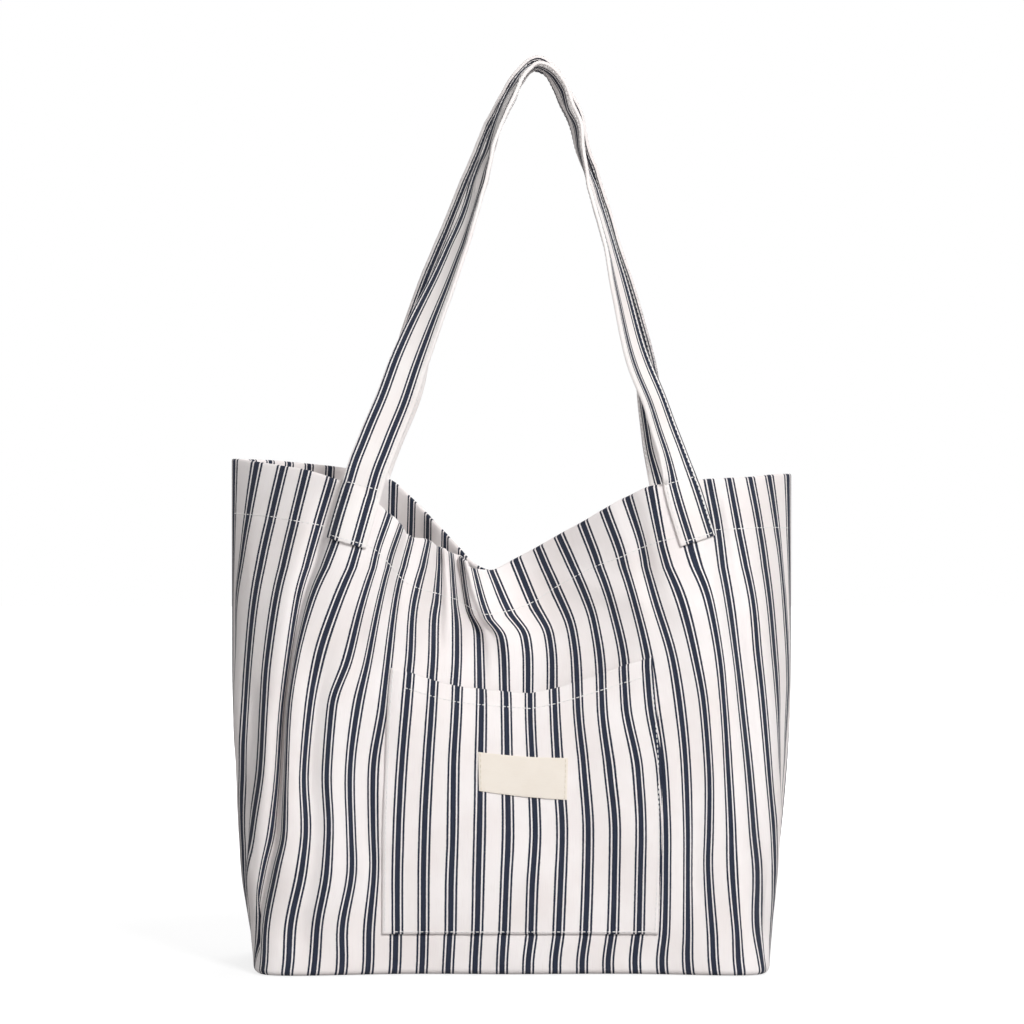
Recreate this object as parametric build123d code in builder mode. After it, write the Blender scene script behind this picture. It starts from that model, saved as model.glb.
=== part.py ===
from build123d import *
from math import atan, cos, pi, sin
import os

os.makedirs("parts", exist_ok=True)

# A striped canvas tote bag, held up by its two handles. Millimetres, +Z up, the front faces -Y.
# The origin is at the middle of the base. Two body panels meet at the side seams and along
# the middle of the base; the mouth is drawn together in the middle, under the handles.

# ---- driving dimensions ----
base_length = 340.0         # base, along X
base_depth = 150.0          # base, along Y
side_flare = 17.5           # how far each side bellies out past the base
flare_height = 200.0        # where the belly is widest
body_height = 345.0         # height to which the cloth reaches at the side seams, with a spare
base_round = 8.0            # round of the edge between wall and base
canvas = 1.2                # thickness of one layer of canvas
layer_gap = 0.3             # air between two layers that lie on each other

# the mouth
mouth_depth = 112.0         # front to back at the strap bases
pinch_half_gap = 5.0        # from the middle plane to the outer face where the hems meet
pinch_x = -16.0             # where along X the hems meet
pinch_height = 266.0        # height of the low point of the mouth
pinch_power = 2.2           # how suddenly the panels draw in below the low point
left_corner_height = 340.0  # hem at the left side seam
right_corner_height = 331.0 # hem at the right side seam
hem_depth = 33.0            # turned-in hem, measured down from its edge
hem_below_bend = 3.0        # hem edge below the bend line of the straps
back_hem_rise = 22.0        # how far the back hem stands over the front one, left of the pinch

# the straps
strap_width = 27.0
strap_thickness = 2.4
strap_left_x = -99.0        # middle of the left strap base
strap_right_x = 111.0       # middle of the right strap base
back_strap_inset = 8.0      # the back strap bases stand this much nearer to each other
bend_height = 326.0         # where the sewn end stops and the free loop starts
sewn_length = 38.0          # sewn end, along the strap
sewn_lean = 17.0            # degrees, how far the sewn ends lean
legs_meet_rise = 309.0      # over the bend line, where the two legs would meet if they ran on
apex_x = 19.0
apex_radius = 14.0          # round of the loop's top, at the strap's middle
apex_gap = 2.0              # between the two handles at the top
twist_start = 0.12          # shares of a leg between which the strap turns edge-on
twist_end = 0.85
leg_steps = 4               # cuts along a leg of the loop
bend_steps = 5              # cuts round its top

# the pocket
pocket_left = -86.0
pocket_right = 98.0
pocket_bottom = 27.0
pocket_left_height = 200.0
pocket_middle_height = 188.0
pocket_right_height = 209.0
pocket_gape = 15.0          # how far the mouth of the pocket stands off the panel
pocket_hem_depth = 11.0

# the label
label_width = 60.0
label_height = 28.0
label_x = 7.6
label_z = 131.7
label_thickness = 0.6
label_turn = -3.5           # degrees

# the bound seams inside
binding_width = 8.0
binding_thickness = 2.0

# ---- cross-sections of the bag ----
half_length = base_length / 2
half_depth = base_depth / 2
half_mouth = mouth_depth / 2
level_heights = [body_height * index / 7 for index in range(8)]
base_turn = ((0.0, 0.6), (0.2, 0.2), (0.6, 0.0))  # rise and inset, as shares of the base round


def blend(low, high, share):
    return low + (high - low) * share


def front_points(height, gape):
    """The front half of one level, from the left seam to the right seam."""
    share = height / body_height
    half_width = half_length + side_flare * sin(min(height / flare_height, 1.0) * pi / 2)
    crest = blend(half_depth, half_mouth, share)
    drawn = min(max(height / pinch_height, 0.0), 1.0) ** pinch_power
    middle = blend(half_depth, pinch_half_gap, drawn) + gape
    side_in = blend(0.0, 0.075, share) * half_length
    side_y = blend(0.55, 0.2, share) * half_depth
    corner_in = blend(0.055, 0.26, share) * half_length
    corner_y = blend(0.93, 0.52, share) * half_depth
    return [
        Vector(-half_width, 0),
        Vector(-half_width + side_in, -side_y),
        Vector(-half_width + corner_in, -corner_y),
        Vector(pocket_left, -crest),
        Vector(blend(0.0, pinch_x, share), -middle),
        Vector(pocket_right, -crest),
        Vector(half_width - corner_in, -corner_y),
        Vector(half_width - side_in, -side_y),
        Vector(half_width, 0),
    ]


def grown(points, amount):
    """The same half level with its outline moved outwards; the ends stay on the seams."""
    up = Vector(0, 0, 1)
    moved = []
    for before, point, after in zip(points[:-2], points[1:-1], points[2:]):
        outward = (after - before).normalized().cross(up)
        moved.append(point + outward * amount)
    left_normal = (points[1] - points[0]).normalized().cross(up)
    right_normal = (points[-1] - points[-2]).normalized().cross(up)
    left_seam = points[0] + Vector(amount / left_normal.X, 0)
    right_seam = points[-1] + Vector(amount / right_normal.X, 0)
    return [left_seam] + moved + [right_seam]


def bag_level(height, amount):
    front = grown(front_points(height, 0.0), amount)
    back = [Vector(point.X, -point.Y) for point in front]
    with BuildSketch(Plane.XY.offset(height)) as level:
        with BuildLine():
            Spline(*front)
            Spline(*back)
        make_face()
    return level.sketch


def bag_solid(amount, bottom):
    """A closed solid of the bag's outer form, grown or shrunk, standing on the height bottom."""
    levels = []
    for rise_share, inset_share in base_turn:
        levels.append(bag_level(bottom + rise_share * base_round, amount - inset_share * base_round))
    levels += [bag_level(height, amount) for height in level_heights[1:]]
    with BuildPart() as solid:
        loft(levels, ruled=True)
    return solid.part


def cloth_patch(side, region, outside, thickness, gape=0.0):
    """The part inside region of one layer of cloth that follows a side of the bag."""
    sections = []
    for height in level_heights:
        open_share = (height - pocket_bottom) / (pocket_middle_height - pocket_bottom)
        line = front_points(height, gape * min(max(open_share, 0.0), 1.2))
        outer = [Vector(point.X, -side * point.Y) for point in grown(line, outside)]
        inner = [Vector(point.X, -side * point.Y) for point in grown(line, outside - thickness)]
        with BuildSketch(Plane.XY.offset(height)) as section:
            with BuildLine():
                outer_line = Spline(*outer)
                inner_line = Spline(*inner)
                Line(outer_line @ 0, inner_line @ 0)
                Line(outer_line @ 1, inner_line @ 1)
            make_face()
        sections.append(section.sketch)
    with BuildPart() as patch:
        loft(sections, ruled=True)
        add(region, mode=Mode.INTERSECT)
    return patch.part


# ---- outlines seen from the front ----
FRONT = -1
BACK = 1
reach = half_length + side_flare + 5


def strap_x(side, hand):
    """Middle of a strap base; hand is -1 for the left one and 1 for the right one."""
    inset = back_strap_inset if side == BACK else 0.0
    return strap_left_x + inset if hand < 0 else strap_right_x - inset


def hem_line(side, drop):
    """Points of the hem's edge, or of a line that runs below it by drop."""
    at_strap = bend_height - hem_below_bend
    rise = back_hem_rise if side == BACK else 0.0
    left_x = strap_x(side, -1)
    right_x = strap_x(side, 1)
    points = [
        (-reach, left_corner_height),
        (left_x - strap_width, at_strap),
        (left_x + strap_width / 2, at_strap - hem_below_bend),
        (blend(left_x, pinch_x, 0.65), blend(at_strap, pinch_height, 0.7) + rise),
        (pinch_x, pinch_height),
        (blend(pinch_x, right_x, 0.5), blend(pinch_height, at_strap, 0.6)),
        (right_x - strap_width / 2, at_strap - hem_below_bend),
        (right_x + strap_width, at_strap),
        (reach, right_corner_height),
    ]
    return [(x, z - drop) for x, z in points]


def under_hem(side, depth=None):
    """The space under a hem's edge: down by depth on both sides, or one side to the floor."""
    upper = hem_line(side, 0.0)
    lower = hem_line(side, depth) if depth else [(-reach, -canvas), (reach, -canvas)]
    with BuildPart() as region:
        with BuildSketch(Plane.XZ):
            with BuildLine():
                top = Spline(*upper)
                foot = Spline(*lower) if depth else Line(*lower)
                Line(top @ 0, foot @ 0)
                Line(top @ 1, foot @ 1)
            make_face()
        extrude(amount=-side * base_depth, both=bool(depth))
    return region.part


# ---- body panels and hems ----
for side, name in ((FRONT, "front"), (BACK, "back")):
    with BuildPart() as panel:
        add(bag_solid(0.0, 0.0))
        add(under_hem(side), mode=Mode.INTERSECT)
        add(bag_solid(-canvas, canvas), mode=Mode.SUBTRACT)
    panel.part.label = f"{name}_panel"
    export_step(panel.part, f"parts/{name}_panel.step")

    with BuildPart() as hem:
        add(cloth_patch(side, under_hem(side, hem_depth), -canvas - layer_gap, canvas))
    hem.part.label = f"{name}_hem"
    export_step(hem.part, f"parts/{name}_hem.step")

# ---- bound seams inside the bag ----
floor = canvas + layer_gap
seam_foot = base_round + canvas
seam_top = min(left_corner_height, right_corner_height) - hem_depth - binding_width
half_binding = binding_thickness / 2


def seam_edge(height):
    """How far from the middle plane a side seam's binding starts."""
    line = grown(front_points(height, 0.0), -floor)
    wall = line[1] - line[0]
    return abs(line[0].X) - half_binding * abs(wall.X / wall.Y) - layer_gap


seam_heights = [blend(seam_foot, seam_top, share) for share in (0, 0.25, 0.5, 0.75, 1)]
flat_half = half_length - base_round - 4 * layer_gap
for hand, name in ((-1, "left"), (1, "right")):
    with BuildPart() as seam_binding:
        with BuildSketch(Plane.XZ):
            with BuildLine():
                outer = Spline(*[(hand * seam_edge(z), z) for z in seam_heights])
                inner = Spline(*[(hand * (seam_edge(z) - binding_width), z) for z in seam_heights])
                Line(outer @ 0, inner @ 0)
                Line(outer @ 1, inner @ 1)
            make_face()
        extrude(amount=half_binding, both=True)
    seam_binding.part.label = f"{name}_seam_binding"
    export_step(seam_binding.part, f"parts/{name}_seam_binding.step")

    with BuildPart() as corner_binding:
        with BuildSketch(Plane.XY.offset(floor)):
            with Locations((hand * (flat_half - binding_width / 2), 0)):
                Rectangle(binding_width, base_depth - 4 * base_round)
        extrude(amount=binding_thickness)
    corner_binding.part.label = f"{name}_corner_binding"
    export_step(corner_binding.part, f"parts/{name}_corner_binding.step")

with BuildPart() as bottom_seam_binding:
    with BuildSketch(Plane.XY.offset(floor)):
        Rectangle(2 * (flat_half - binding_width - layer_gap), binding_width)
    extrude(amount=binding_thickness)
bottom_seam_binding.part.label = "bottom_seam_binding"
export_step(bottom_seam_binding.part, "parts/bottom_seam_binding.step")

# ---- pocket and label ----
pocket_middle = (pocket_left + pocket_right) / 2


def pocket_region(drop, depth=None):
    """The pocket's outline, from drop below its mouth down by depth, or to its foot."""
    mouth = [
        (pocket_left, pocket_left_height - drop),
        (pocket_middle, pocket_middle_height - drop),
        (pocket_right, pocket_right_height - drop),
    ]
    low_left = pocket_left_height - drop - depth if depth else pocket_bottom
    low_right = pocket_right_height - drop - depth if depth else pocket_bottom
    low_middle = pocket_middle_height - drop - depth if depth else pocket_bottom
    with BuildPart() as region:
        with BuildSketch(Plane.XZ):
            with BuildLine():
                top = Spline(*mouth)
                foot = Polyline(
                    (pocket_left, low_left), (pocket_middle, low_middle), (pocket_right, low_right)
                )
                Line(top @ 0, foot @ 0)
                Line(top @ 1, foot @ 1)
            make_face()
        extrude(amount=base_depth)
    return region.part


clear_of_panel = bag_solid(layer_gap, -layer_gap)
pocket_outside = layer_gap + canvas
with BuildPart() as front_pocket:
    add(cloth_patch(FRONT, pocket_region(0.0), pocket_outside, canvas, pocket_gape))
    add(clear_of_panel, mode=Mode.SUBTRACT)
front_pocket.part.label = "front_pocket"
export_step(front_pocket.part, "parts/front_pocket.step")

pocket_hem_region = pocket_region(0.0, pocket_hem_depth)
with BuildPart() as pocket_hem:
    add(cloth_patch(FRONT, pocket_hem_region, 0.0, canvas, pocket_gape))
    add(clear_of_panel, mode=Mode.SUBTRACT)
pocket_hem.part.label = "pocket_hem"
export_step(pocket_hem.part, "parts/pocket_hem.step")

with BuildPart() as label_region:
    with BuildSketch(Plane.XZ):
        with Locations((label_x, label_z)):
            Rectangle(label_width, label_height, rotation=label_turn)
    extrude(amount=base_depth)
label_outside = pocket_outside + layer_gap + label_thickness
with BuildPart() as pocket_label:
    add(cloth_patch(FRONT, label_region.part, label_outside, label_thickness, pocket_gape))
pocket_label.part.label = "pocket_label"
export_step(pocket_label.part, "parts/pocket_label.step")

# ---- handles: a sewn end on each side of a free loop ----
strap_outside = layer_gap + strap_thickness
crest_at_bend = bag_level(bend_height, strap_outside).bounding_box().max.Y + layer_gap / 2


def sewn_end_region(side, hand):
    """The outline of a sewn end: it leans outwards below a level cut."""
    with BuildPart() as region:
        with BuildSketch(Plane.XZ):
            with Locations((strap_x(side, hand), bend_height - layer_gap)):
                Rectangle(
                    strap_width,
                    2 * sewn_length,
                    rotation=hand * sewn_lean,
                )
            with Locations((strap_x(side, hand), bend_height - layer_gap)):
                Rectangle(
                    4 * sewn_length,
                    2 * sewn_length,
                    align=(Align.CENTER, Align.MAX),
                    mode=Mode.INTERSECT,
                )
        extrude(amount=-side * base_depth)
    return region.part


def handle_sections(side):
    """Cuts across the strap, from the left base over the top to the right base."""
    spread = strap_x(side, 1) - strap_x(side, -1)
    half_angle = atan(spread / 2 / legs_meet_rise)
    rise = legs_meet_rise - apex_radius * (1 / sin(half_angle) - 1)
    base = Vector(0, side * (crest_at_bend - strap_thickness / 2), bend_height)
    top = Vector(0, side * (apex_gap + strap_width) / 2, bend_height + rise)
    loop_plane = Plane(origin=base, x_dir=(1, 0, 0), z_dir=Vector(1, 0, 0).cross(top - base))
    feet = []
    for hand in (-1, 1):
        bend_x = strap_x(side, hand)
        outwards = (bend_x - apex_x) / legs_meet_rise
        feet.append((bend_x + outwards * strap_width, -strap_width))
    with BuildLine(loop_plane, mode=Mode.PRIVATE) as route:
        FilletPolyline(feet[0], (apex_x, legs_meet_rise), feet[1], radius=apex_radius)
    legs = route.edges().filter_by(GeomType.LINE).sort_by(Axis.X)
    bend = route.edges().filter_by(GeomType.CIRCLE)[0]
    path = route.wire()
    leg_shares = [0.0] + [blend(twist_start, 1.0, index / leg_steps) for index in range(leg_steps)]
    bend_shares = [index / bend_steps for index in range(bend_steps + 1)]
    travels = [legs[0].length * share for share in leg_shares]
    travels += [legs[0].length + bend.length * share for share in bend_shares]
    travels += [path.length - legs[1].length * share for share in reversed(leg_shares)]
    sections = []
    for travel in travels:
        point = path.position_at(travel, PositionMode.LENGTH)
        along = path.tangent_at(travel, PositionMode.LENGTH)
        from_base = min(travel, path.length - travel) / legs[0].length
        turned = min(max((from_base - twist_start) / (twist_end - twist_start), 0.0), 1.0)
        angle = turned * pi / 2
        across = along.cross(loop_plane.z_dir)
        inwards = across * cos(angle) - loop_plane.z_dir * side * sin(angle)
        with BuildSketch(Plane(origin=point, x_dir=inwards, z_dir=along)) as section:
            Rectangle(strap_width, strap_thickness)
        sections.append(section.sketch)
    return sections


for side, name in ((FRONT, "front"), (BACK, "back")):
    for hand, hand_name in ((-1, "left"), (1, "right")):
        end_region = sewn_end_region(side, hand)
        with BuildPart() as sewn_end:
            add(cloth_patch(side, end_region, strap_outside, strap_thickness))
        sewn_end.part.label = f"{name}_handle_{hand_name}_end"
        export_step(sewn_end.part, f"parts/{name}_handle_{hand_name}_end.step")

    with BuildPart() as handle:
        loft(handle_sections(side), ruled=True)
        split(bisect_by=Plane.XY.offset(bend_height), keep=Keep.TOP)
    handle.part.label = f"{name}_handle"
    export_step(handle.part, f"parts/{name}_handle.step")
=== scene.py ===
import math

import bmesh
import bpy
import numpy as np
from mathutils import Matrix, Vector, noise
from mathutils.bvhtree import BVHTree


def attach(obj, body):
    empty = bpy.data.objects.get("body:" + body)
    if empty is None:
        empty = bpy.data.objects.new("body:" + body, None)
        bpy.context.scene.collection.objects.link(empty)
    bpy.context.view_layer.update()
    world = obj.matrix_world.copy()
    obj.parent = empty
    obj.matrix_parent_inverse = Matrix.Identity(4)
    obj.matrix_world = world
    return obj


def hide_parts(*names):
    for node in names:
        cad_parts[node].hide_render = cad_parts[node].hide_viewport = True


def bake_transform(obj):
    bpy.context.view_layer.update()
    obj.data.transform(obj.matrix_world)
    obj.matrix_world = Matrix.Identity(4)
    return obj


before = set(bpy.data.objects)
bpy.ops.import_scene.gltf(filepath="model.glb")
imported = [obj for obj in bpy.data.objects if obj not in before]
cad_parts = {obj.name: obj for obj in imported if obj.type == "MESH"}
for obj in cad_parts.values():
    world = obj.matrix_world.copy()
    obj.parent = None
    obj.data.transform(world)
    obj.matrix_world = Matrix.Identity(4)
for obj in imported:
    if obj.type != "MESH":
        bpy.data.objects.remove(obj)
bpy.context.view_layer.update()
print("frame loaded")

metre = 0.001  # lengths below are in millimetres
stripePitch = 17.5
canvas = 1.2
gap = 0.3

camera = {
    "lens": 150.0,
    "sensor": 36.0,
    "pixels": 1024,
    "mmPerPixel": 0.66,
    "facing": -45.0,  # depth at which a pixel is that large
    "aimHeight": 302.4,
    "tilt": 1.0,
    "middleColumn": 511.5,
    "middleRow": 512.0,
}
lensPixels = camera["lens"] / camera["sensor"] * camera["pixels"]
reach = camera["mmPerPixel"] * lensPixels
tilt = math.radians(camera["tilt"])
forward = np.array((0.0, math.cos(tilt), -math.sin(tilt)))
upward = np.array((0.0, math.sin(tilt), math.cos(tilt)))
eye = np.array((0.0, camera["facing"], camera["aimHeight"])) - forward * reach


def placed(name, data):
    made = bpy.data.objects.new(name, data)
    bpy.context.scene.collection.objects.link(made)
    return made


def meshOf(name, work):
    mesh = bpy.data.meshes.new(name)
    work.to_mesh(mesh)
    work.free()
    return mesh


def pixelOf(x, y, z):
    away = (y - eye[1]) * forward[1] + (z - eye[2]) * forward[2]
    rise = (y - eye[1]) * upward[1] + (z - eye[2]) * upward[2]
    return camera["middleColumn"] + x / away * lensPixels, camera["middleRow"] - rise / away * lensPixels


def rayThrough(px, py):
    return (
        forward
        + np.array((1.0, 0.0, 0.0)) * (px - camera["middleColumn"]) / lensPixels
        + upward * (camera["middleRow"] - py) / lensPixels
    )


def placeAt(px, py, depth):
    ray = rayThrough(px, py)
    return eye + ray * (depth - eye[1]) / ray[1]


def makeCamera():
    data = bpy.data.cameras.new("camera")
    data.lens = camera["lens"]
    data.sensor_width = camera["sensor"]
    data.clip_end = 20
    made = placed("camera", data)
    shift = (camera["pixels"] / 2 - camera["middleColumn"]) / lensPixels * reach
    made.location = Vector(eye * metre) + Vector((shift * metre, 0, 0))
    made.rotation_euler = (math.pi / 2 - tilt, 0, 0)
    bpy.context.scene.camera = made


makeCamera()


# distance of each point along a line of them
def runOf(points):
    return np.concatenate(([0], np.cumsum(np.linalg.norm(np.diff(points, axis=0), axis=1))))


def unit(vectors):
    return vectors / np.maximum(np.linalg.norm(vectors, axis=-1, keepdims=True), 1e-9)


def smoothCurve(points, count):
    points = np.array(points, float)
    knots = runOf(points)
    steps = np.diff(knots)[:, None]
    size = len(points)
    system = np.eye(size)
    right = np.zeros_like(points)
    slopes = np.diff(points, axis=0) / steps
    for i in range(1, size - 1):
        system[i, i - 1:i + 2] = steps[i - 1, 0], 2 * (steps[i - 1, 0] + steps[i, 0]), steps[i, 0]
        right[i] = 6 * (slopes[i] - slopes[i - 1])
    bend = np.linalg.solve(system, right)
    at = np.linspace(0, knots[-1], count)
    i = np.clip(np.searchsorted(knots, at, side="right") - 1, 0, size - 2)
    low = (knots[i + 1, None] - at[:, None]) / steps[i]
    high = 1 - low
    curve = low * points[i] + high * points[i + 1]
    return curve + ((low**3 - low) * bend[i] + (high**3 - high) * bend[i + 1]) * steps[i]**2 / 6


def evenly(curve, count):
    along = runOf(curve)
    at = np.linspace(0, along[-1], count)
    return np.stack([np.interp(at, along, curve[:, i]) for i in range(curve.shape[1])], axis=1)


def easeThrough(at, knots, values):
    knots = np.array(knots, float)
    values = np.array(values, float)
    steps = np.diff(knots)
    slopes = np.diff(values) / steps
    tangents = np.zeros(len(knots))
    tangents[0], tangents[-1] = slopes[0], slopes[-1]
    for i in range(1, len(knots) - 1):
        if slopes[i - 1] * slopes[i] > 0:
            first = 2 * steps[i] + steps[i - 1]
            second = steps[i] + 2 * steps[i - 1]
            tangents[i] = (first + second) / (first / slopes[i - 1] + second / slopes[i])
    at = np.clip(np.array(at, float), knots[0], knots[-1])
    i = np.clip(np.searchsorted(knots, at, side="right") - 1, 0, len(knots) - 2)
    share = (at - knots[i]) / steps[i]
    rest = 1 - share
    return (
        (1 + 2 * share) * rest**2 * values[i]
        + share * rest**2 * steps[i] * tangents[i]
        + share**2 * (3 - 2 * share) * values[i + 1]
        - share**2 * rest * steps[i] * tangents[i + 1]
    )


def smoothStep(value):
    value = np.clip(value, 0.0, 1.0)
    return value * value * (3 - 2 * value)


bag = {
    "halfLength": 170.0,
    "halfDepth": 75.0,
    "halfMouth": 56.0,
    "height": 345.0,
    "sideFlare": 17.5,
    "flareHeight": 200.0,
    "baseRound": 4.0,
    "pinchHalfGap": 5.0,
    "pinchX": -16.0,
    "pinchHeight": 266.0,
    "pinchPower": 2.2,
    "crestLeft": -86.0,
    "crestRight": 98.0,
    # shares of the half length or half depth, at the base and at the mouth
    "sideIn": (0, 0.075),
    "sideOut": (0.55, 0.2),
    "cornerIn": (0.055, 0.26),
    "cornerOut": (0.93, 0.52),
    # below this height the corners are drawn out squarer, by these shares
    "squareHeight": 90,
    "squareIn": 0.032,
    "squareOut": 0.045,
}


def mix(low, high, share):
    return low + (high - low) * share


def levelCorners(height):
    share = height / bag["height"]
    flared = math.sin(min(height / bag["flareHeight"], 1) * math.pi / 2)
    half = bag["halfLength"] + bag["sideFlare"] * flared
    crest = mix(bag["halfDepth"], bag["halfMouth"], share)
    drawn = min(max(height / bag["pinchHeight"], 0), 1) ** bag["pinchPower"]
    middle = mix(bag["halfDepth"], bag["pinchHalfGap"], drawn)
    sideIn = mix(*bag["sideIn"], share) * bag["halfLength"]
    sideY = mix(*bag["sideOut"], share) * bag["halfDepth"]
    square = max(0, 1 - height / bag["squareHeight"]) ** 2
    cornerIn = (mix(*bag["cornerIn"], share) - bag["squareIn"] * square) * bag["halfLength"]
    cornerY = (mix(*bag["cornerOut"], share) + bag["squareOut"] * square) * bag["halfDepth"]
    return [
        (-half, 0),
        (-half + sideIn, -sideY),
        (-half + cornerIn, -cornerY),
        (bag["crestLeft"], -crest),
        (mix(0, bag["pinchX"], share), -middle),
        (bag["crestRight"], -crest),
        (half - cornerIn, -cornerY),
        (half - sideIn, -sideY),
        (half, 0),
    ]


levelCount, levelSamples, fineSamples = 36, 401, 900
levelHeights = np.linspace(0, bag["height"], levelCount)
levelCurves = np.array([
    evenly(smoothCurve(levelCorners(h), fineSamples), levelSamples) for h in levelHeights
])
levelTangents = unit(np.gradient(levelCurves, axis=1))
levelField = np.concatenate((levelCurves, levelTangents[:, :, 1:], -levelTangents[:, :, :1]), axis=2)


# x, y and the level outward normal of the front form at a share u of a level and a height z
def bagField(u, z):
    u, z = np.broadcast_arrays(np.asarray(u, float), np.asarray(z, float))
    across = np.clip(u, 0, 1) * (levelSamples - 1)
    up = np.clip(z / bag["height"], 0, 1) * (levelCount - 1)
    i = np.minimum(across.astype(int), levelSamples - 2)
    j = np.minimum(up.astype(int), levelCount - 2)
    a = (across - i)[..., None]
    b = (up - j)[..., None]
    low = levelField[j, i] * (1 - a) + levelField[j, i + 1] * a
    high = levelField[j + 1, i] * (1 - a) + levelField[j + 1, i + 1] * a
    return low * (1 - b) + high * b


# the share of a level, and the height, that show at a pixel on the front or back form
def shareAt(px, py, side):
    u = np.linspace(0, 1, levelSamples)
    z = np.full(levelSamples, 200.0)  # a first guess
    for _ in range(4):
        field = bagField(u, z)
        y = side * field[:, 1]
        away = reach + (y - camera["facing"]) * forward[1]
        rise = (camera["middleRow"] - py) / lensPixels * away
        z = camera["aimHeight"] + rise - (y - camera["facing"]) * upward[1]
    field = bagField(u, z)
    column = pixelOf(field[:, 0], side * field[:, 1], z)[0]
    first, last = int(np.argmin(column)), int(np.argmax(column))
    found = float(np.interp(px, column[first:last + 1], u[first:last + 1]))
    return found, float(np.interp(found, u, z))


body = {
    "firstStripe": -0.2,  # where the left seam cuts the ticking, in stripes
    "lastStripe": 28.2,
    "perStripe": 8,  # mesh columns to a stripe
    "hemRows": 10,
    "wallRows": 104,
    "turnRows": 5,
    "baseRows": 16,
    "hemDepth": 33.0,
    "foldRows": 3,
    "seamGap": 0.25,  # half the gap between the two cloths
    "backHeights": (200.0, 120.0, 40.0),
    # the stripes are smoothed by the side seams: passes, stripes it holds for, stripes it fades over
    "calmPasses": 400,
    "calmTo": 1.5,
    "calmFade": 3.5,
    "cutIn": 16,  # where the foot is this far in from the front, no cloth turns under the base
}
# where the stripes cross lines of the camera's view: the first stripe, then columns at a row, or places
frontMarks = {
    "edge": (0, [
        (234, 459), (257, 462), (283, 466), (306, 470), (332, 478), (352, 485), (371, 497),
        (390, 513), (402, 523), (411, 537), (429, 539), (439, 547), (451, 552), (461, 558),
        (474, 568), (491, 570), (515, 558), (537, 546), (558, 534), (582, 521), (604, 508),
        (627, 496), (650, 486), (681, 482), (709, 479), (729, 478), (750, 477), (769, 475),
        (788, 474),
    ]),
    "stitch": (0, [
        (230, 519), (246, 520), (267, 522), (291, 526), (316, 530), (336, 537), (358, 546),
        (376, 555), (388, 568), (399, 582), (416, 593), (437, 599), (455, 604), (469, 612),
        (489, 619), (511, 615), (535, 607), (557, 592), (579, 580), (600, 570), (623, 562),
        (644, 553), (662, 547), (689, 541), (720, 535), (740, 534), (765, 533), (780, 533),
        (793, 534),
    ]),
    "bend": (0, [
        (228, 600), (236, 600), (252, 600), (274, 600), (297, 600), (311, 600), (338, 600),
        (363, 600), (380, 600), (395, 603), (413, 610), (434, 618), (457, 626), (478, 632),
        (501, 634), (525, 634), (549, 634), (572, 630), (594, 622), (612, 606), (634, 600),
        (655, 600), (681, 600), (709, 600), (729, 600), (755, 600), (771, 600), (786, 600),
        (795, 600),
    ]),
    660: (1, [
        234, 248, 266, 288, 296, 318, 348, 368, 388, 410, 433, 457, 479, 504, 528, 552, 576,
        600, 624, 648, 673, 696, 720, 737, 758, 774, 787,
    ]),
    705: (1, [
        232, 246, 264, 282, 289, 310, 332, 358, 383, 405, 430, 454, 480, 505, 528, 552, 578,
        602, 627, 654, 680, 704, 724, 742, 763, 778, 788,
    ]),
    770: (2, [
        247, 263, 278, 286, 304, 327, 350, 373, 401, 427, 454, 481, 507, 533, 559, 584, 610,
        637, 663, 686, 709, 728, 749, 768, 781,
    ]),
    832: (2, [
        239, 252, 272, 284, 306, 329, 351, 373, 399, 425, 452, 479, 506, 533, 560, 587, 613,
        640, 666, 688, 709, 731, 754, 773,
    ]),
    870: (2, [
        239, 249, 263, 276, 302, 327, 352, 374, 398, 424, 452, 479, 506, 534, 562, 588, 614,
        641, 666, 688, 708, 732, 758, 775,
    ]),
    930: (3, [
        244, 255, 265, 290, 317, 342, 369, 396, 423, 450, 477, 504, 532, 559, 586, 612, 638,
        665, 688, 712, 737, 757, 772,
    ]),
    968: (5, [
        263, 288, 314, 342, 368, 395, 422, 448, 475, 502, 528, 555, 582, 608, 635, 662, 688,
        714, 739, 763,
    ]),
}
backEdge = [
    (233, 459), (264, 460), (300, 463), (345, 468), (372, 474), (392, 480), (412, 497), (430, 515),
    (458, 545), (478, 565), (492, 570), (520, 560), (560, 538), (600, 516), (650, 493), (700, 481),
    (750, 477), (790, 474),
]
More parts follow.
